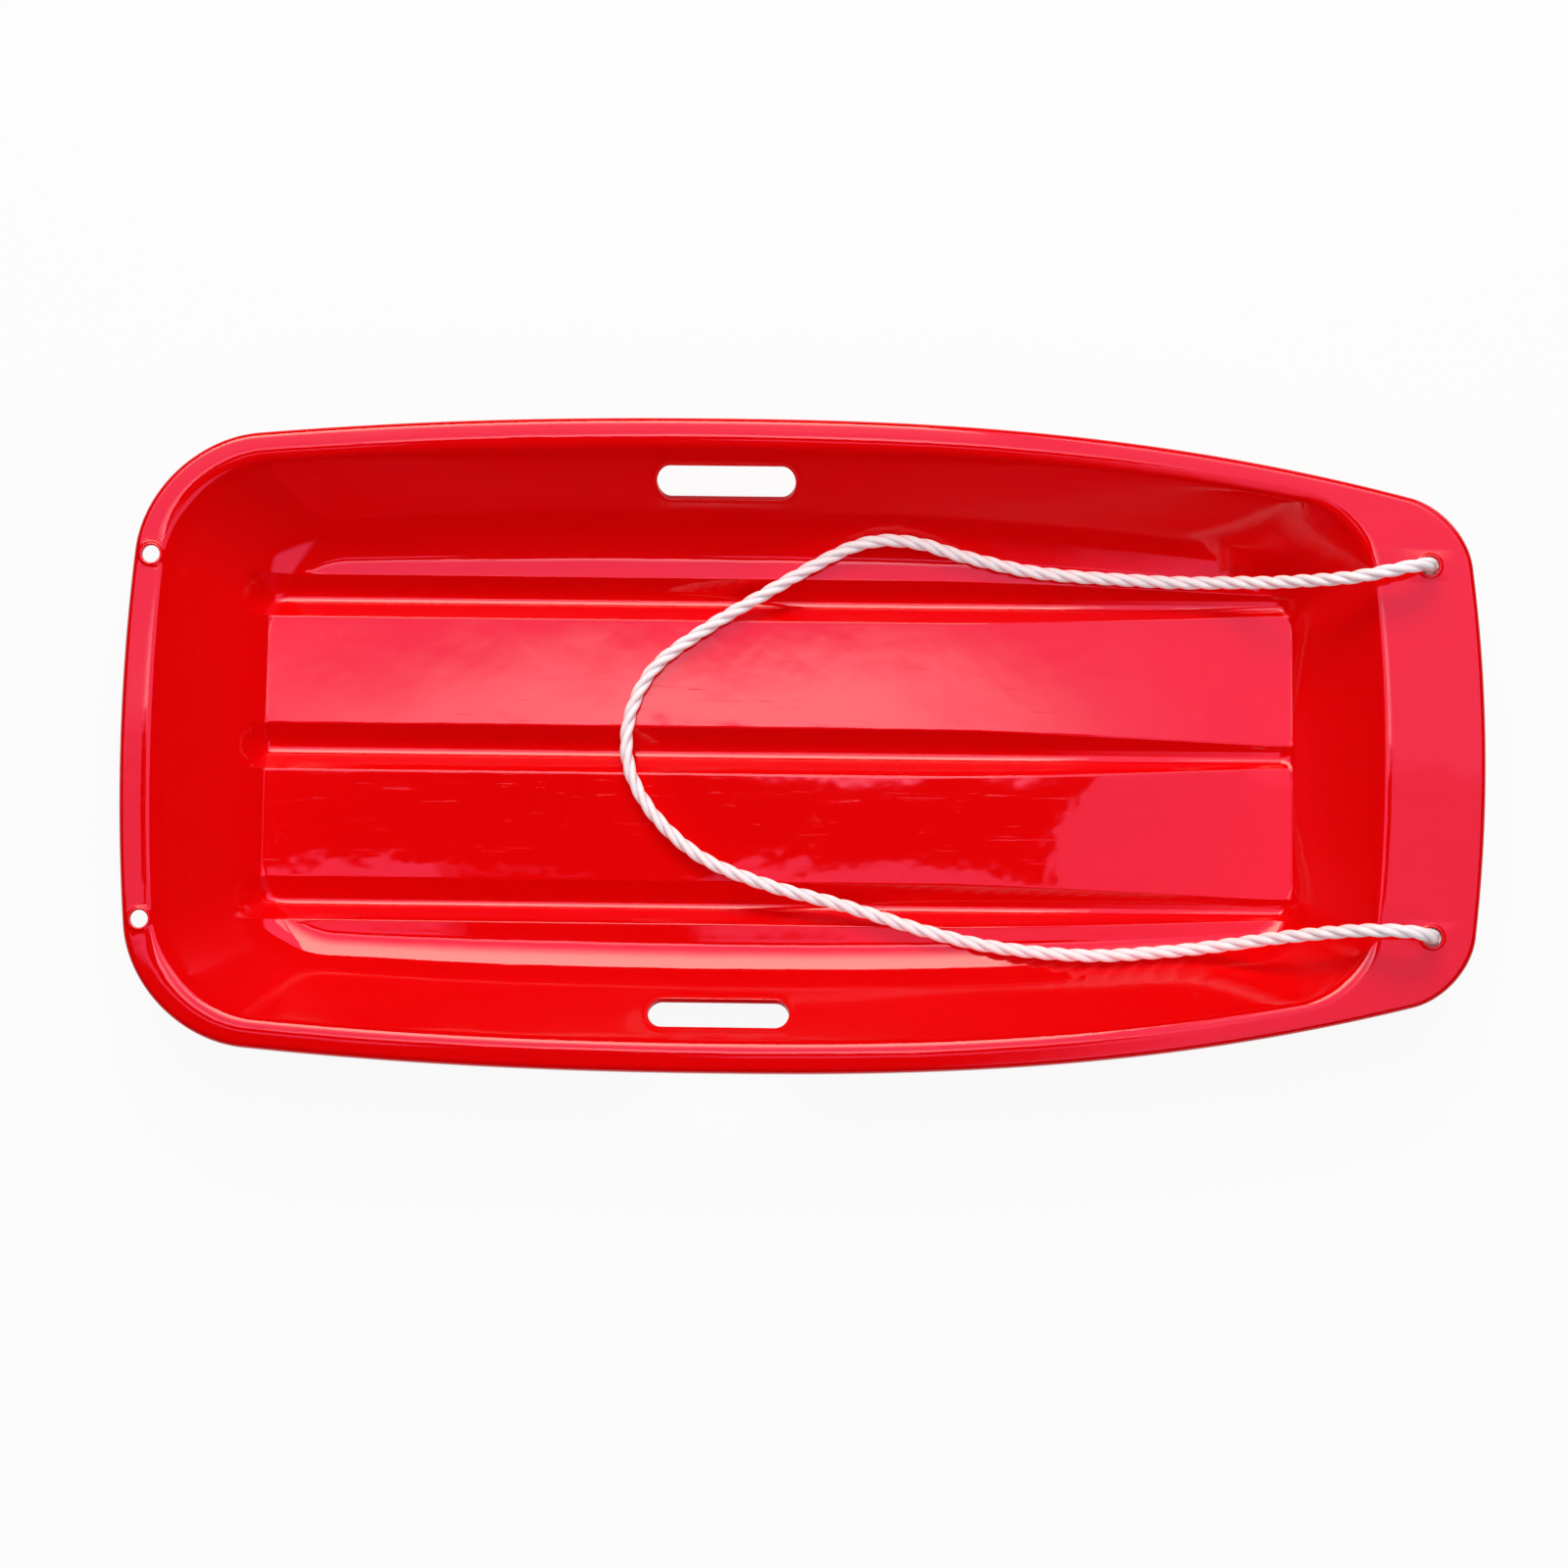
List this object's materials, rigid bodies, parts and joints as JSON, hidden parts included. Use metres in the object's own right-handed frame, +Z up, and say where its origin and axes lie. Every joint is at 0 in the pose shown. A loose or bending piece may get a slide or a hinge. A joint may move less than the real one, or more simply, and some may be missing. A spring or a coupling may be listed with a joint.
{
  "type": "snow sled",
  "caption": "Child's moulded plastic snow sled: a shallow red tub with rim, hand slots, keel grooves and front deck, with a white tow rope knotted through the deck.",
  "frame": {"origin": "on the ground under the middle of the shell: half its length, half its width, at the undersides of the keels", "axes": "+X toward the front deck, +Y to the sled's left, +Z up"},
  "size_m": [0.9, 0.433, 0.094],
  "materials": {
    "red_plastic": "glossy moulded polyethylene",
    "white_rope": "twisted three-strand polypropylene rope"
  },
  "bodies": {
    "root": {"hull_shell": "red_plastic", "tow_rope": "white_rope", "left_stopper_knot": "white_rope", "right_stopper_knot": "white_rope"}
  },
  "joints": []
}
